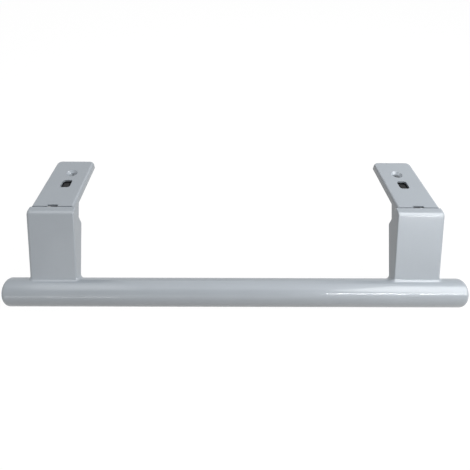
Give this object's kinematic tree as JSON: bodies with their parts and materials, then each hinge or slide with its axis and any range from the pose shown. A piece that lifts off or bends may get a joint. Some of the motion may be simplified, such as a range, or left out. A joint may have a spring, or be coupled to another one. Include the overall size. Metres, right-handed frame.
{
  "type": "refrigerator door handle",
  "caption": "Lever door handle: a round bar with two angled arms, hinged on brackets for the door's side, with sliding pushers.",
  "frame": {"origin": "midway between the two screw holes, on the plane where the brackets sit on the door's side", "axes": "+X along the bar, +Y along the flanges towards the cabinet, +Z out of the door's side"},
  "size_m": [0.397, 0.1287, 0.0712],
  "materials": {
    "silver_plastic": "satin gloss",
    "silver_bracket": "satin gloss",
    "black_plastic": "matte",
    "steel": "bright"
  },
  "bodies": {
    "brackets": {"bracket_left": "silver_bracket", "bracket_right": "silver_bracket", "hinge_pin_left": "steel", "hinge_pin_right": "steel"},
    "grip": {"grip": "silver_plastic", "return_spring_left": "steel", "return_spring_right": "steel"},
    "pusher_left": {"pusher_left": "black_plastic"},
    "pusher_right": {"pusher_right": "black_plastic"}
  },
  "joints": [
    {"name": "grip_pull", "type": "hinge", "parent": "brackets", "child": "grip", "pos_m": [0, -0.0465, 0.0008], "axis": [-1, 0, 0], "range_deg": [0, 8], "stiffness_Nm_per_rad": 1.2, "springref_deg": -14.32},
    {"name": "pusher_left_slide", "type": "slide", "parent": "brackets", "child": "pusher_left", "axis": [0, 1, 0], "range_m": [0, 0.0025]},
    {"name": "pusher_right_slide", "type": "slide", "parent": "brackets", "child": "pusher_right", "axis": [0, 1, 0], "range_m": [0, 0.0025]}
  ],
  "couplings": [
    {"joint": "pusher_left_slide", "follows": "grip_pull", "m_per_rad": 0.01785},
    {"joint": "pusher_right_slide", "follows": "grip_pull", "m_per_rad": 0.01785}
  ]
}
